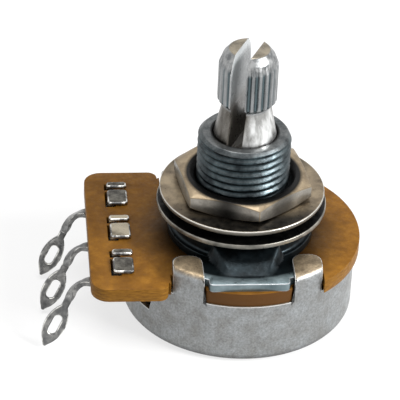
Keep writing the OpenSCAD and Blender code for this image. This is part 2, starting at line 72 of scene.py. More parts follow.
# Two stand-in materials tell the faces that round an edge from the rest until a piece is finished
markers = [bpy.data.materials.new("plainMark"), bpy.data.materials.new("edgeMark")]


def deselectAll():
    if bpy.context.object and bpy.context.object.mode != "OBJECT":
        bpy.ops.object.mode_set(mode="OBJECT")
    bpy.ops.object.select_all(action="DESELECT")


def pick(piece):
    deselectAll()
    piece.select_set(True)
    bpy.context.view_layer.objects.active = piece


def selectAll():
    bpy.ops.mesh.select_all(action="SELECT")


def startEditing(piece):
    pick(piece)
    bpy.ops.object.mode_set(mode="EDIT")
    selectAll()


def leaveEditing(piece):
    selectAll()
    bpy.ops.mesh.normals_make_consistent(inside=False)
    bpy.ops.object.mode_set(mode="OBJECT")
    return piece


def polar(radius, angle):
    return radius * math.cos(angle), radius * math.sin(angle)


def arcPoints(centre, radius, start, end, steps):
    return [(centre[0] + radius * math.cos(start + (end - start) * i / steps),
             centre[1] + radius * math.sin(start + (end - start) * i / steps)) for i in range(steps + 1)]


def circlePoints(radius, count=96):
    return [polar(radius, 2 * math.pi * i / count) for i in range(count)]


def roundCorners(corners, steps=5):
    # Each corner is (x, y, radius), and a radius of 0 keeps it sharp
    points = []
    for i, (x, y, radius) in enumerate(corners):
        here = Vector((x, y))
        if not radius:
            points.append((x, y))
            continue
        back = (Vector(corners[i - 1][:2]) - here).normalized()
        ahead = (Vector(corners[(i + 1) % len(corners)][:2]) - here).normalized()
        half = back.angle(ahead) / 2
        centre = here + (back + ahead).normalized() * radius / math.sin(half)
        first = here + back * radius / math.tan(half) - centre
        last = here + ahead * radius / math.tan(half) - centre
        start = math.atan2(first.y, first.x)
        sweep = (math.atan2(last.y, last.x) - start + math.pi) % (2 * math.pi) - math.pi
        points += arcPoints(centre, radius, start, start + sweep, steps)
    return points


def rectangle(left, right, low, high):
    return [(left, low), (right, low), (right, high), (left, high)]


def risers(radius, low, high, count):
    return [(radius, low + (high - low) * i / count) for i in range(count + 1)]


def startPiece(name):
    # A plane merged to one vertex, left in edit mode, is where an outline starts
    deselectAll()
    bpy.ops.mesh.primitive_plane_add(size=1, location=(0, 0, 0))
    piece = bpy.context.object
    piece.name = name
    piece.data.name = name
    for marker in markers:
        piece.data.materials.append(marker)
    bpy.ops.object.mode_set(mode="EDIT")
    selectAll()
    return piece


def chain(name, points, closed=True):
    piece = startPiece(name)
    bpy.ops.mesh.merge(type="CENTER")
    bpy.ops.mesh.select_mode(type="VERT")
    selectAll()
    bpy.ops.transform.translate(value=Vector(points[0]))
    for last, point in zip(points, points[1:]):
        bpy.ops.mesh.extrude_region_move(TRANSFORM_OT_translate={"value": Vector(point) - Vector(last)})
    if closed:
        shape = bmesh.from_edit_mesh(piece.data)
        shape.verts.ensure_lookup_table()
        bpy.ops.mesh.select_all(action="DESELECT")
        shape.verts[0].select_set(True)
        shape.verts[len(shape.verts) - 1].select_set(True)
        shape.select_flush_mode()
        bpy.ops.mesh.edge_face_add()
    selectAll()
    return piece


def turnPiece(name, outline, closed=True, steps=turnSteps):
    piece = chain(name, [(x, 0, z) for x, z in outline], closed)
    bpy.ops.mesh.spin(steps=steps, angle=2 * math.pi, center=(0, 0, 0), axis=(0, 0, 1))
    selectAll()
    bpy.ops.mesh.remove_doubles(threshold=weldGap)
    return leaveEditing(piece)


def raiseOutline(name, points, reach):
    # A closed outline, filled and extruded by the vector `reach`
    piece = chain(name, points)
    bpy.ops.mesh.edge_face_add()
    selectAll()
    bpy.ops.mesh.extrude_region_move(TRANSFORM_OT_translate={"value": Vector(reach)})
    return leaveEditing(piece)


def raisePlan(name, plan, low, high):
    return raiseOutline(name, [(x, y, low) for x, y in plan], (0, 0, high - low))


def drawStrip(name, sections):
    # A bar swept by extruding one end face from section to section, four corners each
    piece = startPiece(name)
    shape = bmesh.from_edit_mesh(piece.data)
    for vertex, corner in zip([loop.vert for loop in shape.faces[:][0].loops], sections[0]):
        vertex.co = corner
    for last, section in zip(sections, sections[1:]):
        bpy.ops.mesh.extrude_region_move(TRANSFORM_OT_translate={"value": (0, 0, 0)})
        shape = bmesh.from_edit_mesh(piece.data)
        for vertex in [v for v in shape.verts if v.select]:
            corner = min(range(4), key=lambda k: (vertex.co - Vector(last[k])).length)
            vertex.co = section[corner]
        bmesh.update_edit_mesh(piece.data)
    return leaveEditing(piece)


def useModifier(piece, kind, **settings):
    pick(piece)
    modifier = piece.modifiers.new(kind, kind)
    for name, value in settings.items():
        setattr(modifier, name, value)
    bpy.ops.object.modifier_apply(modifier=modifier.name)


def cutWith(piece, tool, operation="DIFFERENCE"):
    useModifier(piece, "BOOLEAN", operation=operation, solver="EXACT", object=tool)
    bpy.data.objects.remove(tool)


def soften(piece, width, segments=2, angle=40):
    useModifier(piece, "BEVEL", width=width, segments=segments, limit_method="ANGLE",
                angle_limit=math.radians(angle), use_clamp_overlap=False, material=1)


def markEdges(piece, rule):
    for face in piece.data.polygons:
        if rule(face):
            face.material_index = 1


def moveVertices(piece, rule):
    for vertex in piece.data.vertices:
        vertex.co = rule(vertex.co)


def toRadius(place, radius):
    # The same place moved straight in or out from the axis
    share = radius / place.xy.length
    return Vector((place.x * share, place.y * share, place.z))


def cleanMesh(piece):
    startEditing(piece)
    bpy.ops.mesh.remove_doubles(threshold=weldGap)
    bpy.ops.mesh.dissolve_degenerate(threshold=weldGap)
    bpy.ops.mesh.delete_loose()
    bpy.ops.object.mode_set(mode="OBJECT")


def turnCopies(piece, count):
    # The piece spun about the Z axis into a ring of `count`
    startEditing(piece)
    bpy.ops.mesh.spin(steps=count - 1, angle=2 * math.pi * (count - 1) / count, dupli=True,
                      center=(0, 0, 0), axis=(0, 0, 1))
    bpy.ops.object.mode_set(mode="OBJECT")


def setFinish(mesh, finish):
    mesh.materials.clear()
    mesh.materials.append(finish)


def finishPiece(piece, body, slot, finish, *nodes, angle=35):
    pick(piece)
    piece.scale = (mm, mm, mm)
    bpy.ops.object.transform_apply(location=True, rotation=True, scale=True)
    bpy.ops.object.shade_smooth_by_angle(angle=math.radians(angle))
    marks = piece.data.attributes.new("worn", "FLOAT", "FACE")
    for face, mark in zip(piece.data.polygons, marks.data):
        mark.value = face.material_index
        face.material_index = 0
    setFinish(piece.data, finish)
    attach(piece, body)
    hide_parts(*nodes)
    print("piece", piece.name, len(piece.data.polygons), "faces")
    return piece


# Finishes

def tone(red, green, blue):
    # A colour as a screen shows it, 0 to 255, in the shader's linear terms
    return tuple((c / 255 / 12.92 if c < 11 else ((c / 255 + 0.055) / 1.055) ** 2.4) for c in (red, green, blue))


def newFinish(name, metallic):
    # A material, and the place in millimetres that its patterns use
    finish = bpy.data.materials.new(name)
    finish.use_nodes = True
    finish.node_tree.nodes["Principled BSDF"].inputs["Metallic"].default_value = metallic
    return finish, objectPlace(finish)


def addNode(finish, kind, settings=(), **values):
    node = finish.node_tree.nodes.new("ShaderNode" + kind)
    for name, value in dict(settings).items():
        setattr(node, name, value)
    for name, value in values.items():
        node.inputs[name.replace("_", " ")].default_value = value
    return node


def joinNodes(finish, output, socket):
    finish.node_tree.links.new(output, socket)


def objectPlace(finish, stretch=(1, 1, 1)):
    # Object coordinates in metres, turned into millimetres and stretched
    place = addNode(finish, "TexCoord")
    mapping = addNode(finish, "Mapping")
    mapping.inputs["Scale"].default_value = [s / mm for s in stretch]
    joinNodes(finish, place.outputs["Object"], mapping.inputs["Vector"])
    return mapping.outputs["Vector"]


def cloud(finish, place, scale, detail, roughness=0.55):
    noise = addNode(finish, "TexNoise", Scale=scale, Detail=detail, Roughness=roughness)
    joinNodes(finish, place, noise.inputs["Vector"])
    return noise.outputs["Fac"]


def ramp(finish, amount, *stops):
    node = addNode(finish, "ValToRGB")
    while len(node.color_ramp.elements) < len(stops):
        node.color_ramp.elements.new(0.5)
    for element, (position, colour) in zip(node.color_ramp.elements, stops):
        element.position = position
        element.color = (*colour, 1)
    joinNodes(finish, amount, node.inputs["Fac"])
    return node.outputs["Color"]


def spread(finish, amount, low, high, start=0.3, end=0.7):
    node = addNode(finish, "MapRange", From_Min=start, From_Max=end, To_Min=low, To_Max=high)
    joinNodes(finish, amount, node.inputs["Value"])
    return node.outputs["Result"]


def blendColours(finish, amount, first, second, mode="MIX"):
    node = addNode(finish, "Mix", {"data_type": "RGBA", "blend_type": mode})
    for socket, value in (("A", first), ("B", second)):
        into = [i for i in node.inputs if i.name == socket and i.type == "RGBA"][0]
        if isinstance(value, tuple):
            into.default_value = (*value, 1)
        else:
            joinNodes(finish, value, into)
    factor = [i for i in node.inputs if i.name == "Factor" and i.type == "VALUE"][0]
    if isinstance(amount, float):
        factor.default_value = amount
    else:
        joinNodes(finish, amount, factor)
    return [o for o in node.outputs if o.type == "RGBA"][0]


def toned(finish, amount, *stops):
    # Each stop is a position and a tone
    return ramp(finish, amount, *[(at, tone(*stop)) for at, *stop in stops])


def mottled(finish, place, scale, detail, *stops, roughness=0.55):
    return toned(finish, cloud(finish, place, scale, detail, roughness), *stops)


def dress(finish, colour, roughness, height, depth, metallic=None):
    # Links the shader: depth is the bump's height in millimetres
    shader = finish.node_tree.nodes["Principled BSDF"]
    joinNodes(finish, colour, shader.inputs["Base Color"])
    joinNodes(finish, roughness, shader.inputs["Roughness"])
    if metallic:
        joinNodes(finish, metallic, shader.inputs["Metallic"])
    bump = addNode(finish, "Bump", Strength=1.0, Distance=depth * mm)
    joinNodes(finish, height, bump.inputs["Height"])
    joinNodes(finish, bump.outputs["Normal"], shader.inputs["Normal"])
    return finish


def coat(finish, place, colour, rough, bump):
    # rough is the scale and detail of its clouds and the two ends, bump its clouds' and the depth
    roughness = spread(finish, cloud(finish, place, *rough[:2]), *rough[2:])
    return dress(finish, colour, roughness, cloud(finish, place, *bump[:2]), bump[2])


def grey(share):
    return share, share, share


def wornEdges(finish):
    # 1 on the narrow faces that round an edge
    return addNode(finish, "Attribute", {"attribute_name": "worn"}).outputs["Fac"]


def facingUp(finish, start=0.5, end=0.9):
    geometry = addNode(finish, "NewGeometry")
    normal = addNode(finish, "SeparateXYZ")
    joinNodes(finish, geometry.outputs["Normal"], normal.inputs[0])
    return spread(finish, normal.outputs["Z"], 0.0, 1.0, start, end)


def axisDistance(finish, back=0.0):
    # Distance in millimetres from the shaft's axis, or from a line this far behind it
    moved = addNode(finish, "VectorMath", {"operation": "SUBTRACT"})
    joinNodes(finish, objectPlace(finish, (1, 1, 0)), moved.inputs[0])
    moved.inputs[1].default_value = (0, back, 0)
    length = addNode(finish, "VectorMath", {"operation": "LENGTH"})
    joinNodes(finish, moved.outputs["Vector"], length.inputs[0])
    return length.outputs["Value"]


def towards(finish, turn):
    # Distance along the level direction at this turn from +X
    along = addNode(finish, "VectorMath", {"operation": "DOT_PRODUCT"})
    joinNodes(finish, objectPlace(finish), along.inputs[0])
    along.inputs[1].default_value = (*polar(1, turn), 0)
    return along.outputs["Value"]


def heightOf(finish):
    split = addNode(finish, "SeparateXYZ")
    joinNodes(finish, objectPlace(finish), split.inputs[0])
    return split.outputs["Z"]


def sideDistance(finish, turn):
    # Distance to either side of the upright plane through the axis at this turn
    size = addNode(finish, "Math", {"operation": "ABSOLUTE"})
    joinNodes(finish, towards(finish, turn + math.pi / 2), size.inputs[0])
    return size.outputs[0]


def times(finish, first, second):
    product = addNode(finish, "Math", {"operation": "MULTIPLY"})
    joinNodes(finish, first, product.inputs[0])
    joinNodes(finish, second, product.inputs[1])
    return product.outputs[0]


def plated(name, side, top, edge, scale=0.6, grain=0.1, rough=(0.3, 0.46), depth=0.008, metallic=0.85, inner=None,
           shadedFoot=None):
    # Plated metal: a dark and a light tone for upright faces and two for level faces, fine grain and worn edges.
    # Where the level tones differ, they are a painted reflection from above.
    # inner paints shade near the axis and is (distances from the axis, tone, how far back the axis is moved); the
    # last argument gives the heights of a foot darkened by painted shade.
    finish, place = newFinish(name, metallic)
    blotches = cloud(finish, place, scale, 5.0, 0.6)
    tones = [toned(finish, blotches, (0.32, *dark), (0.66, *light)) for dark, light in (side, top)]
    # level faces take the top tones, a painted reflection from above
    colour = blendColours(finish, facingUp(finish), *tones)
    fine = ramp(finish, cloud(finish, place, 4.5, 3.0, 0.7), (0.3, grey(1 - grain)), (0.7, grey(1 + grain)))
    colour = blendColours(finish, 1.0, colour, fine, "MULTIPLY")
    colour = blendColours(finish, wornEdges(finish), colour, tone(*edge))
    # painted shade near the axis, round a centre moved back or forth
    if inner:
        near = spread(finish, axisDistance(finish, inner[2]), 1.0, 0.0, *inner[0])
        colour = blendColours(finish, near, colour, tone(*inner[1]))
    # painted shade darkening the foot
    if shadedFoot:
        shade = ramp(finish, spread(finish, heightOf(finish), 0.0, 1.0, *shadedFoot), (0.0, grey(0.15)), (1.0, grey(1.0)))
        colour = blendColours(finish, 1.0, colour, shade, "MULTIPLY")
    return coat(finish, place, colour, (2.2, 4.0, *rough), (4.5, 4.0, depth))


# Can: drawn cup with four tabs folded over the plate, a window for the terminals and a stop tang

can = {
    "sheet": 0.5,
    "edge": 1.0,  # outer radius of the drawn bottom edge
    "fold": 0.3,  # inner radius of a tab's fold
    "tabTurn": 30.2,  # degrees round from the Y axis
    "tabWidth": 3.0,
    "tabReach": 5.1,
    "tabTip": 1.2,
    "windowTop": 7.7,
    "windowSill": 7.05,
    "windowDrop": 3.6,
    "tangWidth": 2.4,
    "tangReach": 2.7,
    "burr": 0.07,
    "spare": 0.6,  # how far the folded sheet runs past the tips before it is cut
    "band": 0.4,  # rings of edges this far below the rim and the window keep the wall's shading even
}
wallRadius = canRadius - can["sheet"]
tabX = canRadius * math.sin(math.radians(can["tabTurn"]))
tabTipY = canRadius - can["tabReach"]


def tabPrism(side, flip):
    left, right = side * tabX - can["tabWidth"] / 2, side * tabX + can["tabWidth"] / 2
    beyond = canRadius + 2 * over
    plan = roundCorners([(left, tabTipY, can["tabTip"]), (right, tabTipY, can["tabTip"]), (right, beyond, 0),
                         (left, beyond, 0)])
    return raisePlan("tabPrism", [(x, flip * y) for x, y in plan], rimHeight - over, canHigh.z + 2 * over)


def modelCan():
    top, sheet = canHigh.z, can["sheet"]
    inner = tabTipY - can["spare"]
    sill = rimHeight - can["windowDrop"]
    outline = roundCorners([(0, 0, 0), (canRadius, 0, can["edge"]), (canRadius, sill - can["band"], 0),
                            (canRadius, rimHeight - can["band"], 0), (canRadius, top, can["fold"] + sheet),
                            (inner, top, 0), (inner, top - sheet, 0), (wallRadius, top - sheet, can["fold"]),
                            (wallRadius, sheet, can["edge"] - sheet), (0, sheet, 0)], 6)
    piece = turnPiece("canShell", outline, closed=False)
    between = raisePlan("between", circlePoints(canRadius + over), rimHeight, top + over)
    for side in (-1, 1):
        for flip in (-1, 1):
            cutWith(between, tabPrism(side, flip))
    cutWith(piece, between)
    corners = [(-can["windowTop"], rimHeight + over), (-can["windowTop"], rimHeight), (-can["windowSill"], sill),
               (can["windowSill"], sill), (can["windowTop"], rimHeight), (can["windowTop"], rimHeight + over)]
    cutWith(piece, raiseOutline("window", [(-canRadius - over, y, z) for y, z in corners], (canRadius, 0, 0)))
    half = can["tangWidth"] / 2
    tang = rectangle(-wallRadius - sheet / 2, -wallRadius + can["tangReach"], -half, half)
    cutWith(piece, raisePlan("tang", tang, sill - sheet, sill), "UNION")
    cleanMesh(piece)
    soften(piece, can["burr"], 2, 50)
    return piece


# The can's tan level faces on the tabs are a painted warm reflection, and its foot from 0.2 to 1.0 mm high is
# darkened as painted shade along the bottom edge.
canSteel = plated("canSteel", ((122, 122, 120), (142, 145, 146)), ((92, 80, 64), (156, 139, 113)),
                  (196, 196, 194), 0.6, 0.28, (0.34, 0.5), 0.016, 0.75, shadedFoot=(0.2, 1.0))
finishPiece(modelCan(), "housing", "can_steel", canSteel, "can")
print("can done")


# Wafer: paper laminate with its ear, notches for the tabs and slots for the clinched legs

wafer = {
    "earHalf": 10.75,
    "earCorner": 1.8,
    "shoulder": 7.986,  # distance of the ear's shoulders from the axis
    "shoulderCorner": 1.0,
    "notchSlack": 0.2,
    "hole": 5.4,
    "edge": 0.09,
}

# Terminals: stamped strip, clinched through the wafer, bent down, twisted and ended in a needle eye
terminal = {
    "pitch": 6.2,
    "sheet": 0.5,
    "stripWidth": 1.1,
    "stripY": -0.45,
    "clinchIn": 3.35,  # middle of the clinched legs, in from the ear's edge
    "clinchLength": 2.1,
    "clinchHeight": 0.4,
    "legs": ((-0.6, 2.6), (1.7, 0.9)),  # middle and width of each leg along Y
    "print": 0.1,  # printed layer between terminal and wafer
    "slotGap": 0.22,
    "slotShort": 1.3,  # how much shorter a slot is than the clinched leg over it
    "baseRim": 0.34,  # how far the base under the wafer reaches past the slots
    "bend": 2.0,
    "hang": 28.0,  # degrees between the lug and the upright
    "lean": 20.5,  # degrees to the side
    "twist": 1.1,
    "lugLength": 5.2,
    "lugNeck": 0.2,
    "lugWidth": 2.2,
    "neckWidth": 0.74,  # where the strip twists
    "thinning": 0.12,  # share of the sheet lost there
    "spinStart": 0.4,  # share of the bend before the twist begins
    "spinPower": 1.6,
    "narrowPower": 1.5,
    "tipWidth": 0.52,  # where the arcs end
    "pointWidth": 0.24,
    "pointShort": 0.03,
    "stripEdge": 0.05,
    "lugEdge": 0.09,
    "padEdge": 0.16,
    "padCorner": 0.4,
    "lugSheet": 0.46,
    "eyeWidth": 0.9,
    "eyeLength": 2.1,
}
earX = -waferLow.x
clinchX = earX - terminal["clinchIn"]
lugRows = {"left": -terminal["pitch"], "centre": 0.0, "right": terminal["pitch"]}


def ringArc(radius, startX, endX, steps):
    return arcPoints((0, 0), radius, math.acos(startX / radius), math.acos(endX / radius), steps)


def waferPlan():
    outer, waist, notched = waferHigh.x, waferHigh.y, wallRadius - wafer["notchSlack"]
    half = can["tabWidth"] / 2 + wafer["notchSlack"]
    near, far = tabX - half, tabX + half
    ear = roundCorners([(-wafer["shoulder"], 0, 0), (-wafer["shoulder"], wafer["earHalf"], wafer["shoulderCorner"]),
                        (-earX, wafer["earHalf"], wafer["earCorner"]), (-earX, 0, 0)], 6)[1:-1]
    upper = (ringArc(outer, outer, far, 20) + ringArc(notched, far, near, 6) + ringArc(waist, near, -near, 20)
             + ringArc(notched, -near, -far, 6) + ringArc(outer, -far, -wafer["shoulder"], 1) + ear)
    return upper + [(x, -y) for x, y in reversed(upper[1:])]


def modelWafer():
    piece = raisePlan("waferBoard", waferPlan(), waferLow.z, waferHigh.z)
    cutWith(piece, raisePlan("hole", circlePoints(wafer["hole"]), waferLow.z - over, waferHigh.z + over))
    gap = terminal["slotGap"]
    left = -clinchX - terminal["clinchLength"] / 2 - gap
    right = -clinchX + terminal["clinchLength"] / 2 - terminal["slotShort"]
    for row in lugRows.values():
        for middle, width in terminal["legs"]:
            low, high = row + middle - width / 2 - gap / 2, row + middle + width / 2 + gap / 2
            slot = rectangle(left, right, low, high)
            cutWith(piece, raisePlan("slot", slot, waferLow.z - over, waferHigh.z + over))
    cleanMesh(piece)
    soften(piece, wafer["edge"], 2, 50)
    return piece


def phenolic():
    # Paper laminate: mottled amber, with painted shade round the boss and on the edge between the tabs, and darker
    # punched edges
    finish, place = newFinish("phenolic", 0.0)
    finish.node_tree.nodes["Principled BSDF"].inputs["Specular IOR Level"].default_value = 0.12
    mottle = mottled(finish, place, 0.7, 6.0, (0.3, 82, 51, 11), (0.5, 110, 72, 19), (0.7, 142, 98, 32),
                     roughness=0.7)
    patches = mottled(finish, place, 0.22, 3.0, (0.35, 98, 63, 14), (0.65, 134, 91, 27))
    colour = blendColours(finish, 0.4, mottle, patches)
    # painted shade: the laminate darkens towards the boss, shaded by the nut and washers
    shade = ramp(finish, spread(finish, axisDistance(finish), 0.0, 1.0, 7.2, 12.0),
                 (0.0, grey(0.16)), (0.4, grey(0.5)), (1.0, grey(1.0)))
    colour = blendColours(finish, 1.0, colour, shade, "MULTIPLY")
    edge = mottled(finish, objectPlace(finish, (1, 1, 9)), 1.2, 4.0, (0.35, 90, 58, 12), (0.65, 122, 84, 24))
    # painted shade on the edge faces between the tabs, front and back
    between = spread(finish, sideDistance(finish, math.pi / 2), 1.0, 0.0, 5.6, 6.4)
    edge = blendColours(finish, between, edge, tone(76, 48, 17))
    colour = blendColours(finish, facingUp(finish), edge, colour)
    return coat(finish, place, colour, (2.5, 3.0, 0.38, 0.6), (3.0, 5.0, 0.02))


finishPiece(modelWafer(), "housing", "phenolic", phenolic(), "wafer")
print("wafer done")


def stripSection(middle, across, through, width, sheet):
    a, t = across * width / 2, through * sheet / 2
    return [middle - a - t, middle + a - t, middle + a + t, middle - a + t]


def modelTerminal(name, row):
    sheet, bend = terminal["sheet"], terminal["bend"]
    top = waferLow.z - terminal["print"]
    start = Vector((-earX, row + terminal["stripY"], top - sheet / 2))
    turn = math.radians(90 - terminal["hang"])
    lean = -math.radians(terminal["lean"])
    sideways, upright = Vector((0, 1, 0)), Vector((0, 0, 1))
    whole = Quaternion((1, 0, 0), lean)
    width, neck = terminal["stripWidth"], terminal["neckWidth"]
    sections = [stripSection(Vector((x, start.y, start.z)), sideways, upright, width, sheet)
                for x in (-clinchX, -earX)]
    arch, twist = 12, 8  # sections of the bend and of the twist
    begin = terminal["spinStart"] * arch
    for i in range(1, arch + twist + 2):
        angle = turn * min(1, i / arch)
        past = max(0, i - arch) / twist * terminal["twist"]
        spin = math.pi / 2 * min(1, max(0, (i - begin) / (arch - begin + twist))) ** terminal["spinPower"]
        place = Vector((-bend * math.sin(angle) - past * math.cos(angle), 0,
                        -bend * (1 - math.cos(angle)) - past * math.sin(angle)))
        outward = Vector((-math.sin(angle), 0, math.cos(angle)))
        across = sideways * math.cos(spin) + outward * math.sin(spin)
        through = outward * math.cos(spin) - sideways * math.sin(spin)
        middle = start + whole @ place
        tilt = Quaternion((1, 0, 0), lean * min(1, 3 * i / arch))
        share = min(1, i / (arch + twist))
        narrowed = width + (neck - width) * share ** terminal["narrowPower"]
        sections.append(stripSection(middle, tilt @ across, tilt @ through, narrowed,
                                     sheet * (1 - terminal["thinning"] * share)))
    down = Vector((-math.cos(turn), 0, -math.sin(turn)))
    foot = Vector((-bend * math.sin(turn), 0, -bend * (1 - math.cos(turn))))
    piece = drawStrip(name, sections)
    soften(piece, terminal["stripEdge"], 2, 60)

    # Lug: two arcs that meet in a blunt point, with a long eye
    half, reach = terminal["lugWidth"] / 2, (terminal["lugLength"] - terminal["lugNeck"]) / 2
    arc = (reach * reach + half * half) / (2 * half)
    eyeAt = terminal["lugLength"] - reach
    neckAngle = -math.acos((arc - half + neck / 2) / arc)
    tipAngle = math.acos((arc - half + terminal["tipWidth"] / 2) / arc)
    right = ([(neck / 2, -overlap)] + arcPoints((half - arc, eyeAt), arc, neckAngle, tipAngle, 14)
             + [(terminal["pointWidth"] / 2, terminal["lugLength"] - terminal["pointShort"])])
    outline = right + [(-a, b) for a, b in reversed(right)]
    lugStart = foot + down * terminal["twist"]
    thick = terminal["lugSheet"]

    def lugPoint(a, b, depth):
        return lugStart + outward * a + down * b - sideways * depth

    lug = raiseOutline("lug", [lugPoint(a, b, thick / 2) for a, b in outline], sideways * thick)
    eyeSide = (terminal["eyeLength"] - terminal["eyeWidth"]) / 2
    radius = terminal["eyeWidth"] / 2
    eye = (arcPoints((0, eyeAt + eyeSide), radius, 0, math.pi, 10)
           + arcPoints((0, eyeAt - eyeSide), radius, math.pi, 2 * math.pi, 10))
    cutWith(lug, raiseOutline("eye", [lugPoint(a, b, thick) for a, b in eye], sideways * thick * 2))
    soften(lug, terminal["lugEdge"], 3, 50)
    moveVertices(lug, lambda place: start + whole @ place)
    cutWith(piece, lug, "UNION")

    # Base under the wafer, and the legs clinched over its top
    left, right = -clinchX - terminal["clinchLength"] / 2, -clinchX + terminal["clinchLength"] / 2
    lows = [row + middle - width / 2 for middle, width in terminal["legs"]]
    highs = [row + middle + width / 2 for middle, width in terminal["legs"]]
    rim = terminal["baseRim"]
    base = rectangle(left - rim, right, min(lows) - rim, max(highs) + rim)
    plinth = raisePlan("base", base, top - sheet + nudge, top - nudge)
    soften(plinth, terminal["stripEdge"], 2, 60)
    cutWith(piece, plinth, "UNION")
    for low, high in zip(lows, highs):
        leg = rectangle(left, left + sheet, low, high)
        cutWith(piece, raisePlan("leg", leg, top - sheet / 2, waferHigh.z + overlap), "UNION")
        corner = min(terminal["padCorner"], (high - low) / 2 - 0.1)
        plan = roundCorners([(*point, corner) for point in rectangle(left, right, low, high)], 4)
        pad = raisePlan("pad", plan, waferHigh.z, waferHigh.z + terminal["clinchHeight"])
        soften(pad, terminal["padEdge"], 4, 60)
        cutWith(piece, pad, "UNION")
    cleanMesh(piece)
    return piece


def tinnedBrass():
    # Hot-dipped tin: grey, with a warmer tone on the clinched pads on top of the wafer, a painted warm reflection,
    # and the front and back pads darker as painted shade
    finish, place = newFinish("tinnedBrass", 0.9)
    cloudy = mottled(finish, place, 0.8, 5.0, (0.32, 80, 81, 82), (0.5, 118, 118, 117), (0.68, 164, 163, 160),
                     roughness=0.65)
    # painted warm reflection on the pads' tops, with the front and back pads painted darker as shade
    pads = mottled(finish, place, 0.3, 3.0, (0.4, 112, 104, 90), (0.6, 172, 162, 142))
    shadedTone = mottled(finish, place, 1.4, 3.0, (0.35, 58, 55, 50), (0.65, 112, 109, 101))
    pads = blendColours(finish, spread(finish, sideDistance(finish, 0.0), 0.0, 1.0, 2.5, 3.5), pads, shadedTone)
    above = spread(finish, heightOf(finish), 0.0, 1.0, waferHigh.z - 0.1, waferHigh.z)
    colour = blendColours(finish, above, cloudy, pads)
    worn = mottled(finish, place, 1.1, 2.0, (0.45, 92, 92, 92), (0.6, 214, 213, 208))
    colour = blendColours(finish, wornEdges(finish), colour, worn)
    return coat(finish, place, colour, (1.7, 3.0, 0.2, 0.42), (3.2, 3.0, 0.02))


lugFinish = tinnedBrass()
for side, row in lugRows.items():
    finishPiece(modelTerminal("lug" + side.capitalize(), row), "housing", "tinned_brass", lugFinish,
                "terminal_" + side)
print("terminals done")


# Bushing plate: pressed sheet with a round boss, two ribs, feet under the tabs and tongues between them

plate = {
    "sheet": 0.9,
    "boss": 7.0,
    "bossEdge": 0.5,
    "bossFoot": 0.35,
    "spigot": 4.2,
    "ribTop": 3.5,  # half widths of a rib at the boss and at its foot
    "ribFoot": 2.1,
    "ribReach": 10.0,
    "ribSide": 0.5,  # plan width of a rib's sloping side
    "rim": 7.5,
    "footIn": 0.5,
    "footShort": 0.05,
    "footCorner": 0.6,
    "tongueCorner": 0.5,
    "tongueIn": 0.6,
    "tongueGap": 0.45,
    "innerIn": 0.54,  # how much narrower a rib is on its inner side
    "spare": 0.5,
    "rings": 15,  # rings of edges past the boss, where the ribs are pressed
    "ringStep": 0.2,
    "edge": 0.08,
}


def ribHeight(x, y, inset, rise):
    # Height of a pressed rib above the foot, at a point of the plan
    reach, boss = plate["ribReach"] - inset, plate["boss"]
    along = min(1, max(0, (reach - abs(y)) / (reach - boss)))
    out = min(1, max(0, (abs(y) - boss) / (plate["ribReach"] - boss)))
    half = plate["ribTop"] + (plate["ribFoot"] - plate["ribTop"]) * out - inset
    side = min(1, max(0, (half + plate["ribSide"] / 2 - abs(x)) / plate["ribSide"]))
    return rise * along * side * side * (3 - 2 * side)


def platePlan():
    footX = tabX + can["tabWidth"] / 2 - plate["footShort"]
    footRadius, footY = wallRadius - can["fold"], tabTipY - plate["footIn"]
    tongueX, tongueY = tabX - can["tabWidth"] / 2 - plate["tongueGap"], canRadius - plate["tongueIn"]
    rim = plate["rim"]
    rimX = math.sqrt(rim * rim - footY * footY)
    foot = roundCorners([(rimX, footY, 0), (footX, footY, plate["footCorner"]), (footX, footRadius - 1, 0)], 4)[1:-1]
    corner = plate["tongueCorner"]
    tongue = roundCorners([(tongueX, 0, 0), (tongueX, tongueY, corner), (-tongueX, tongueY, corner),
                           (-tongueX, 0, 0)], 4)[1:-1]
    right = ringArc(rim, rim, rimX, 14) + foot + ringArc(footRadius, footX, tongueX, 8)
    upper = right + tongue + [(-x, y) for x, y in reversed(right)]
    return upper + [(x, -y) for x, y in reversed(upper[1:-1])]


def modelPlate():
    sheet, boss = plate["sheet"], plate["boss"]
    footTop, footLow = plateLow.z + sheet, plateLow.z
    outer = canRadius + plate["spare"]
    rings = [boss + plate["bossFoot"] + plate["ringStep"] * (i + 1) for i in range(plate["rings"])]
    outline = roundCorners([(plate["spigot"], mountHeight, 0), (boss, mountHeight, plate["bossEdge"]),
                            (boss, footTop, plate["bossFoot"]), (outer, footTop, 0)], 5)[:-1]
    outline += [(r, footTop) for r in rings] + [(outer, footTop), (outer, footLow)]
    outline += [(r, footLow) for r in reversed(rings)]
    inner = boss - sheet
    outline += [(inner + plate["ringStep"], footLow), (inner, footLow), (inner, mountHeight - sheet),
                (plate["spigot"], mountHeight - sheet)]
    piece = turnPiece("plateStamping", outline)
    rise, inset = mountHeight - footTop, plate["innerIn"]

    def pressed(place):
        if place.xy.length < boss - sheet / 2 and place.z > footLow + 0.1:
            return place
        if place.z > footTop - 0.05:
            return Vector((place.x, place.y, max(place.z, footTop + ribHeight(place.x, place.y, 0, rise))))
        if place.z < footLow + 0.1:
            return Vector((place.x, place.y, footLow + ribHeight(place.x, place.y, inset, rise)))
        return place

    moveVertices(piece, pressed)
    cutWith(piece, raisePlan("platePlan", platePlan(), footLow - over, mountHeight + over), "INTERSECT")
    cleanMesh(piece)
    soften(piece, plate["edge"], 2, 60)
    return piece


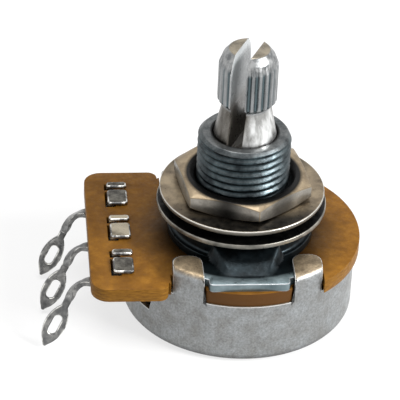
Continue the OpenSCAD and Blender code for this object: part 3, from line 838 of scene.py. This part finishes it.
def plateSteel():
    # Dark plating, with a painted reflection of the sky that lightens the tongues and feet past the ribs; the worn
    # edges follow it, darker inside
    finish, place = newFinish("plateSteel", 0.8)
    dark = mottled(finish, place, 0.7, 5.0, (0.3, 8, 12, 14), (0.7, 31, 40, 44), roughness=0.6)
    light = mottled(finish, place, 0.6, 4.0, (0.3, 84, 98, 102), (0.7, 128, 142, 146))
    # painted reflection: faces past the ribs take the light tone
    past = spread(finish, axisDistance(finish), 0.0, 1.0, 10.2, 10.5)
    colour = blendColours(finish, past, dark, light)
    worn = toned(finish, past, (0.0, 48, 57, 61), (1.0, 166, 170, 172))
    colour = blendColours(finish, wornEdges(finish), colour, worn)
    return coat(finish, place, colour, (2.2, 4.0, 0.26, 0.44), (4.5, 4.0, 0.012))


finishPiece(modelPlate(), "housing", "plate_steel", plateSteel(), "bushing_plate")
print("plate done")


# Threaded bushing

bushing = {
    "pitch": 25.4 / 32,
    "depth": 0.25,
    "chamfer": 0.5,
    "bore": 3.22,
    "boreEdge": 0.2,
    "spigot": 4.2,
    "collar": 5.2,
    "collarSheet": 0.6,
    "threadStart": 0.3,  # above the mounting surface
    "rings": 10,  # rings of faces for each turn of the thread
}
threadRadius = 4.7625


def threadAt(place):
    # Radius of the thread's surface at a point: flat crest and root, straight flanks
    turns = place.z / bushing["pitch"] - math.atan2(place.y, place.x) / (2 * math.pi)
    wave = abs(2 * (turns % 1) - 1)
    return threadRadius - bushing["depth"] * min(1, max(0, wave * 1.15 - 0.05))


def modelBushing():
    top, low = bushingHigh.z, bushingLow.z
    root = threadRadius - bushing["depth"]
    begin = mountHeight + bushing["threadStart"]
    count = round((top - begin) / bushing["pitch"] * bushing["rings"])
    under = mountHeight - plate["sheet"]
    outline = [(bushing["bore"], top - bushing["boreEdge"]), (bushing["bore"], low), (bushing["collar"], low),
               (bushing["collar"], under), (bushing["spigot"], under), (bushing["spigot"], mountHeight),
               (root, mountHeight)]
    outline += risers(threadRadius, begin, top, count)
    outline += [(threadRadius - bushing["chamfer"] - 0.05, top), (bushing["bore"] + bushing["boreEdge"], top)]
    piece = turnPiece("bushingTurned", outline)

    def cutThread(place):
        radius = place.xy.length
        if radius < root + 0.01 or place.z < begin - 0.01:
            return place
        envelope = threadRadius - bushing["chamfer"] + max(0, top - place.z)
        wanted = min(radius, threadAt(place), envelope)
        return toRadius(place, wanted)

    moveVertices(piece, cutThread)
    return piece


# The bushing's level faces get a painted reflection, and the faces round the bore are darkened as painted shade in
# the gap round the shaft.
bushingMetal = plated("bushingMetal", ((14, 21, 25), (60, 72, 76)), ((66, 70, 72), (118, 120, 120)),
                      (104, 112, 115), 0.7, 0.3, (0.3, 0.46), 0.018, 0.85, ((3.45, 3.6), (10, 12, 13), 0.0))
finishPiece(modelBushing(), "housing", "bushing_metal", bushingMetal, "threaded_bushing", angle=50)
print("bushing done")


# Shaft: turned, with a splined head split by a slot

shaft = {
    "radius": 3.175,
    "splineRadius": 3.0,
    "splines": 24,
    "splineDepth": 0.25,
    "splineLength": 6.15,
    "neck": 2.48,
    "neckLength": 0.3,
    "chamfer": 0.95,
    "noseLength": 1.7,
    "highlightTurn": -52.0,  # where the painted highlight on the cone below the head lies
    "slotWidth": 1.6,
    "slotDepth": 10.8,  # down into the bushing
    "slotTurn": 64.0,
    "groove": 2.4,
    "grooveLow": 8.55,
    "grooveHigh": 9.25,
    "tail": 2.6,
    "tailHeight": 5.5,
    "tailFlats": 4.2,
    "edge": 0.07,
    "steps": 288,
}


def splineAt(place):
    # Radius of the splined head's surface: straight flanks between crest and root
    turns = (math.atan2(place.y, place.x) - math.radians(shaft["slotTurn"])) / (2 * math.pi) * shaft["splines"]
    wave = abs((turns % 1) - 0.5)  # 0 in the middle of a groove
    return shaft["splineRadius"] - shaft["splineDepth"] * min(1, max(0, (0.32 - wave) / 0.18))


def modelShaft():
    low, top = shaftLow.z, shaftHigh.z
    crest, neck = shaft["splineRadius"], shaft["neck"]
    head = top - shaft["splineLength"]
    cone = head - shaft["neckLength"]
    radius, tail, chamfer = shaft["radius"], shaft["tail"], shaft["chamfer"]
    outline = roundCorners([
        (0, low, 0), (tail, low, 0.15), (tail, shaft["tailHeight"], 0), (radius, shaft["tailHeight"], 0.1),
        (radius, shaft["grooveLow"], 0), (shaft["groove"], shaft["grooveLow"], 0),
        (shaft["groove"], shaft["grooveHigh"], 0), (radius, shaft["grooveHigh"], 0),
        (radius, bushingHigh.z, 0.3), (neck, cone, 0.2), (neck, head, 0.1), (crest, head + crest - neck, 0.15),
        (crest, top - shaft["noseLength"], 0.6), (crest - 0.4 * chamfer, top - 0.4 * shaft["noseLength"], 0.7),
        (crest - chamfer, top, 0.3), (0, top, 0)], 5)
    piece = turnPiece("shaftSplit", outline, closed=False, steps=shaft["steps"])

    def cutSplines(place):
        around = place.xy.length
        if place.z < head or around < neck + 0.01:
            return place
        return toRadius(place, min(around, splineAt(place)))

    moveVertices(piece, cutSplines)
    slotTurn = math.radians(shaft["slotTurn"])
    along, across = Vector((*polar(1, slotTurn), 0)), Vector((*polar(1, slotTurn + math.pi / 2), 0))
    reach = 2 * shaft["splineRadius"]
    corner = Vector((0, 0, top - shaft["slotDepth"])) - along * reach
    half = across * shaft["slotWidth"] / 2
    rise = Vector((0, 0, shaft["slotDepth"] + over))
    cutWith(piece, raiseOutline("slot", [corner - half, corner + half, corner + half + rise, corner - half + rise],
                                along * 2 * reach))
    for side in (-1, 1):
        flat = rectangle(-reach, reach, side * shaft["tailFlats"] / 2, side * reach)
        cutWith(piece, raisePlan("flat", flat, low - over, shaft["tailHeight"]))
    cleanMesh(piece)
    soften(piece, shaft["edge"], 2, 62)
    return piece


def shaftMetal():
    # Zinc alloy: light crests, a painted highlight on the nose, painted shade in the spline grooves, a painted warm
    # reflection on the top, a painted highlight and painted shade on the cone, and painted shade that darkens the
    # slot downwards
    finish, place = newFinish("shaftMetal", 0.88)
    height = heightOf(finish)
    streaks = cloud(finish, objectPlace(finish, (1, 1, 0.2)), 2.4, 4.0)
    cloudy = mottled(finish, place, 0.6, 4.0, (0.3, 112, 114, 115), (0.7, 150, 152, 153))
    streaky = toned(finish, streaks, (0.3, 110, 112, 113), (0.7, 168, 170, 171))
    colour = blendColours(finish, 0.5, cloudy, streaky)
    head = shaftHigh.z - shaft["splineLength"]
    # painted shade in the spline grooves
    grooves = times(finish, spread(finish, axisDistance(finish), 1.0, 0.0, 2.78, 2.9),
                    times(finish, spread(finish, height, 0.0, 1.0, head, head + 0.3),
                          spread(finish, height, 1.0, 0.0, shaftHigh.z - 1.9, shaftHigh.z - 1.5)))
    colour = blendColours(finish, grooves, colour, tone(84, 97, 101))
    # painted highlight on the chamfered nose, in a speckled tone
    nose = spread(finish, height, 0.0, 1.0, shaftHigh.z - 1.7, shaftHigh.z - 1.2)
    speckled = mottled(finish, place, 1.5, 3.0, (0.4, 112, 114, 115), (0.6, 156, 157, 157))
    colour = blendColours(finish, nose, colour, speckled)
    # painted warm reflection on the level faces at the top
    top = mottled(finish, place, 0.6, 4.0, (0.35, 112, 105, 92), (0.65, 164, 154, 136))
    high = spread(finish, height, 0.0, 1.0, shaftHigh.z - 0.5, shaftHigh.z - 0.2)
    colour = blendColours(finish, times(finish, high, facingUp(finish, 0.8, 0.97)), colour, top)
    # painted highlight on one side of the cone and painted shade on the other
    streaked = cloud(finish, objectPlace(finish, (1, 1, 0.3)), 1.1, 3.0)
    shadedTone = toned(finish, streaked, (0.35, 78, 74, 68), (0.65, 120, 117, 112))
    paintedHighlight = toned(finish, streaked, (0.38, 142, 142, 140), (0.6, 222, 223, 222))
    lit = spread(finish, towards(finish, math.radians(shaft["highlightTurn"])), 0.0, 1.0, 1.8, 2.4)
    cone = blendColours(finish, lit, shadedTone, paintedHighlight)
    colour = blendColours(finish, spread(finish, height, 1.0, 0.0, head - 0.3, head), colour, cone)
    # painted shade: the slot's walls darken downwards
    slot = toned(finish, spread(finish, height, 0.0, 1.0, head - 0.6, head + 1.4),
                 (0.0, 92, 88, 82), (0.4, 132, 129, 125), (1.0, 164, 167, 168))
    turn, wide = math.radians(shaft["slotTurn"]), shaft["slotWidth"] / 2
    inside = spread(finish, sideDistance(finish, turn), 1.0, 0.0, wide + 0.01, wide + 0.04)
    colour = blendColours(finish, inside, colour, slot)
    worn = times(finish, wornEdges(finish), spread(finish, height, 0.0, 0.7, head - 0.5, head + 1))
    colour = blendColours(finish, worn, colour, tone(168, 169, 168))
    return dress(finish, colour, spread(finish, cloud(finish, place, 1.9, 3.0), 0.24, 0.42), streaks, 0.01,
                 spread(finish, inside, 0.88, 0.25))


finishPiece(modelShaft(), "rotor", "shaft_metal", shaftMetal(), "shaft", angle=28)
print("shaft done")


# Lock washer, flat washer and nut

lockWasher = {
    "outer": 8.7,
    "rim": 1.5,
    "sheet": 0.5,
    "teeth": 10,
    "toothWidth": 2.3,
    "toothTurn": 55.0,
    "toothIn": 4.86,
    "edge": 0.1,
}
flatWasher = {
    "outer": 8.45,
    "edge": 0.1,
    "roll": 0.3,
    "bore": 4.96,
}
nut = {
    "acrossFlats": 12.7,
    "chamfer": 20.0,
    "turn": -21.6,
    "bore": 4.8,
    "countersink": 0.7,
    "flatEdge": 0.15,  # where the chamfer starts, in from the flats
    "edge": 0.06,
}


def slanted(face):
    return 0.15 < abs(face.normal.z) < 0.98


def ringOutline(inner, outer, low, high, edge, roll):
    # A punched ring, with the die's roll on its lower outer corner
    return roundCorners([(inner, low, edge), (outer, low, roll), (outer, high, edge), (inner, high, edge)], 5)


def modelLockWasher():
    low, high = nodeBox("lock_washer")
    middle, half = (low.z + high.z) / 2, lockWasher["sheet"] / 2
    inner = lockWasher["outer"] - lockWasher["rim"]
    ring = turnPiece("washerLock", ringOutline(inner, lockWasher["outer"], middle - half, middle + half,
                                               lockWasher["edge"], lockWasher["edge"]))
    markEdges(ring, lambda face: face.normal.z > 0.15 and slanted(face))
    sections = []
    for i in range(7):
        share = i / 6
        turn = math.radians(lockWasher["toothTurn"]) * min(1, share * 1.5)
        across, through = Vector((0, math.cos(turn), math.sin(turn))), Vector((0, -math.sin(turn), math.cos(turn)))
        place = Vector((inner + 0.3 + (lockWasher["toothIn"] - inner - 0.3) * share, 0, middle))
        sections.append(stripSection(place, across, through, lockWasher["toothWidth"] - 0.1,
                                     lockWasher["sheet"] - 0.06))
    tooth = drawStrip("tooth", sections)
    soften(tooth, 0.06, 2, 60)
    turnCopies(tooth, lockWasher["teeth"])
    cutWith(ring, tooth, "UNION")
    cleanMesh(ring)
    return ring


def modelFlatWasher():
    low, high = nodeBox("flat_washer")
    ring = turnPiece("washerFlat", ringOutline(flatWasher["bore"], flatWasher["outer"], low.z, high.z,
                                               flatWasher["edge"], flatWasher["roll"]))
    markEdges(ring, lambda face: face.normal.z > 0.15 and slanted(face))
    return ring


def modelNut():
    low, high = nodeBox("hex_nut")
    half, sink = nut["acrossFlats"] / 2, nut["countersink"]
    corner = half / math.cos(math.pi / 6)
    plan = [polar(corner, math.radians(nut["turn"] + 60 * i)) for i in range(6)]
    piece = raisePlan("nutHex", plan, low.z, high.z)
    beyond, wide = corner + over, nut["bore"] + sink + over
    face = half - nut["flatEdge"]
    drop = (beyond - face) * math.tan(math.radians(nut["chamfer"]))
    chamfered = turnPiece("chamfer", [(0, low.z), (face, low.z), (beyond, low.z + drop), (beyond, high.z - drop),
                                      (face, high.z), (0, high.z)], closed=False)
    cutWith(piece, chamfered, "INTERSECT")
    bore = turnPiece("bore", [(0, low.z - over), (wide, low.z - over), (nut["bore"], low.z + sink),
                              (nut["bore"], high.z - sink), (wide, high.z + over), (0, high.z + over)], closed=False)
    cutWith(piece, bore)
    cleanMesh(piece)
    soften(piece, nut["edge"], 2, 32)
    return piece


def lockSteel():
    # Spring steel, near black as painted shade under the flat washer, in its plain tone only at the ring's outer
    # edge
    finish, place = newFinish("lockSteel", 0.85)
    # painted shade: all but the outer edge is near black, shade under the flat washer
    dark = mottled(finish, place, 1.2, 4.0, (0.35, 14, 14, 14), (0.7, 34, 33, 31))
    bare = mottled(finish, place, 0.5, 4.0, (0.35, 88, 87, 82), (0.65, 152, 148, 139))
    outer = spread(finish, axisDistance(finish), 0.0, 1.0, lockWasher["outer"] - 0.12, lockWasher["outer"] - 0.06)
    colour = blendColours(finish, outer, dark, bare)
    return coat(finish, place, colour, (2.0, 4.0, 0.26, 0.46), (5.0, 3.0, 0.008))


def flatSteel():
    # Plated washer: tan top, a painted warm reflection, with painted shade round the nut at the front and back
    finish, place = newFinish("flatSteel", 0.85)
    top = mottled(finish, place, 0.5, 5.0, (0.35, 104, 92, 76), (0.65, 156, 141, 117), roughness=0.6)
    # painted shade round the nut, towards the front and back
    nutShade = mottled(finish, place, 1.4, 4.0, (0.35, 12, 11, 10), (0.7, 52, 48, 42))
    near = times(finish, spread(finish, axisDistance(finish), 1.0, 0.0, 8.25, 8.4),
                 spread(finish, sideDistance(finish, 0.0), 0.0, 1.0, 2.5, 6.0))
    top = blendColours(finish, near, top, nutShade)
    # level faces tan as a painted warm reflection
    colour = blendColours(finish, facingUp(finish, 0.3, 0.9), tone(104, 100, 92), top)
    colour = blendColours(finish, wornEdges(finish), colour, tone(186, 183, 176))
    return coat(finish, place, colour, (2.0, 4.0, 0.26, 0.44), (5.0, 3.0, 0.008))


# The nut's tan level faces are a painted warm reflection, and the faces round the bore are darkened as painted
# shade, centred towards the front.
nutSteel = plated("nutSteel", ((104, 99, 91), (150, 146, 138)), ((118, 104, 84), (166, 149, 123)),
                  (132, 119, 98), 0.5, 0.1, (0.28, 0.44), 0.008, 0.85, ((5.75, 6.1), (16, 15, 14), -0.6))
finishPiece(modelLockWasher(), "housing", "washer_steel", lockSteel(), "lock_washer")
finishPiece(modelFlatWasher(), "housing", "washer_steel", flatSteel(), "flat_washer")
finishPiece(modelNut(), "housing", "nut_steel", nutSteel, "hex_nut", angle=25)
print("washers and nut done")


# Inside the can the CAD pieces stay, each with its own finish

def plainPlated(name, body, edge):
    return plated(name, (body, body), (body, body), edge)


def matte(name, dark, light, mottle, rough, bump):
    finish, place = newFinish(name, 0.0)
    return coat(finish, place, mottled(finish, place, *mottle, (0.3, *dark), (0.7, *light)), rough, bump)


innerFinishes = {
    "retaining_ring": plainPlated("springSteel", (74, 76, 77), (140, 141, 144)),
    "rotor_driver": matte("mouldedPlastic", (30, 30, 32), (46, 46, 49), (1.5, 3.0), (4.0, 2.0, 0.42, 0.6),
                          (9.0, 2.0, 0.01)),
    "wiper_contact": plainPlated("springBronze", (182, 134, 84), (210, 166, 112)),
    "resistance_track": matte("carbonPrint", (24, 24, 25), (42, 42, 44), (3.0, 5.0), (6.0, 2.0, 0.45, 0.65),
                              (12.0, 2.0, 0.006)),
    "track_end_pads": plainPlated("silverPrint", (178, 178, 175), (205, 205, 202)),
}
innerFinishes["collector_ring"] = innerFinishes["track_end_pads"]
for node, finish in innerFinishes.items():
    setFinish(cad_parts[node].data, finish)
print("inner finishes done")


# Floor, light and camera

stage = {
    "floorSize": 3.0,
    "floorTone": 0.93,
    "floorGlow": 0.72,  # share of plain white in what is seen of the floor
    "aim": (0, 0, 0.012),
    "skyLight": 0.4,  # light from all round
    "key": (0.38, -0.20, 0.26, 0.2, 4.2),  # place, size and power
    "fill": (-0.42, -0.22, 0.20, 0.35, 0.35),
    "top": (-0.02, 0.10, 0.55, 0.30, 1.6),
}
view = {
    "azimuth": -7.05,
    "elevation": 34.17,
    "target": (0, 0, 8),
    "distance": 260,
    "aimLeft": 4.255,  # aim, left of and above the target
    "aimUp": 2.962,
    "roll": 2.64,
    "lens": 225.8,
    "sensor": 36,
}


def seenDirectly(tree):
    # 1 for what the camera, gloss and glass see, 0 for light
    path = tree.nodes.new("ShaderNodeLightPath")
    last = path.outputs["Is Camera Ray"]
    for name in ("Is Glossy Ray", "Is Transmission Ray"):
        either = tree.nodes.new("ShaderNodeMath")
        either.operation = "MAXIMUM"
        tree.links.new(last, either.inputs[0])
        tree.links.new(path.outputs[name], either.inputs[1])
        last = either.outputs[0]
    return last


def buildFloor():
    deselectAll()
    bpy.ops.mesh.primitive_plane_add(size=stage["floorSize"], location=(0, 0, 0))
    floor = bpy.context.object
    floor.name = "floor"
    finish = bpy.data.materials.new("floorPaper")
    finish.use_nodes = True
    tree = finish.node_tree
    shader = tree.nodes["Principled BSDF"]
    shader.inputs["Base Color"].default_value = (*grey(stage["floorTone"]), 1)
    shader.inputs["Roughness"].default_value = 0.9
    shader.inputs["Specular IOR Level"].default_value = 0.0
    glow = tree.nodes.new("ShaderNodeEmission")
    share = tree.nodes.new("ShaderNodeMath")
    share.operation = "MULTIPLY"
    share.inputs[1].default_value = stage["floorGlow"]
    mix = tree.nodes.new("ShaderNodeMixShader")
    tree.links.new(seenDirectly(tree), share.inputs[0])
    tree.links.new(share.outputs[0], mix.inputs[0])
    tree.links.new(shader.outputs[0], mix.inputs[1])
    tree.links.new(glow.outputs[0], mix.inputs[2])
    tree.links.new(mix.outputs[0], tree.nodes["Material Output"].inputs["Surface"])
    floor.data.materials.append(finish)


def buildSky():
    world = bpy.data.worlds.new("studio")
    bpy.context.scene.world = world
    world.use_nodes = True
    tree = world.node_tree
    strength = tree.nodes.new("ShaderNodeMapRange")
    strength.inputs["To Min"].default_value = stage["skyLight"]
    strength.inputs["To Max"].default_value = 1.0
    tree.links.new(seenDirectly(tree), strength.inputs["Value"])
    tree.nodes["Background"].inputs["Color"].default_value = (1, 1, 1, 1)
    tree.links.new(strength.outputs["Result"], tree.nodes["Background"].inputs["Strength"])


def addSoftbox(name):
    x, y, z, size, power = stage[name]
    place = Vector((x, y, z))
    aim = Vector(stage["aim"]) - place
    deselectAll()
    bpy.ops.object.light_add(type="AREA", location=place, rotation=aim.to_track_quat("-Z", "Y").to_euler())
    lamp = bpy.context.object
    lamp.name = name + "Softbox"
    lamp.data.size = size
    lamp.data.energy = power


def placeCamera():
    azimuth, elevation = math.radians(view["azimuth"]), math.radians(view["elevation"])
    right = Vector((math.cos(azimuth), math.sin(azimuth), 0))
    level = Vector((-math.sin(azimuth), math.cos(azimuth), 0))
    forward = level * math.cos(elevation) - Vector((0, 0, math.sin(elevation)))
    up = right.cross(forward)
    target = Vector(view["target"])
    eye = target - forward * view["distance"]
    aim = target - right * view["aimLeft"] + up * view["aimUp"]
    turn = (aim - eye).to_track_quat("-Z", "Y") @ Quaternion((0, 0, 1), math.radians(view["roll"]))
    deselectAll()
    bpy.ops.object.camera_add(location=eye * mm, rotation=turn.to_euler())
    camera = bpy.context.object
    camera.data.lens = view["lens"]
    camera.data.sensor_width = view["sensor"]
    camera.data.clip_start = 0.01
    bpy.context.scene.camera = camera


buildFloor()
buildSky()
for lampName in ("key", "fill", "top"):
    addSoftbox(lampName)
for marker in markers:
    bpy.data.materials.remove(marker)
placeCamera()
bpy.context.scene.view_settings.view_transform = "Standard"
print("stage done")
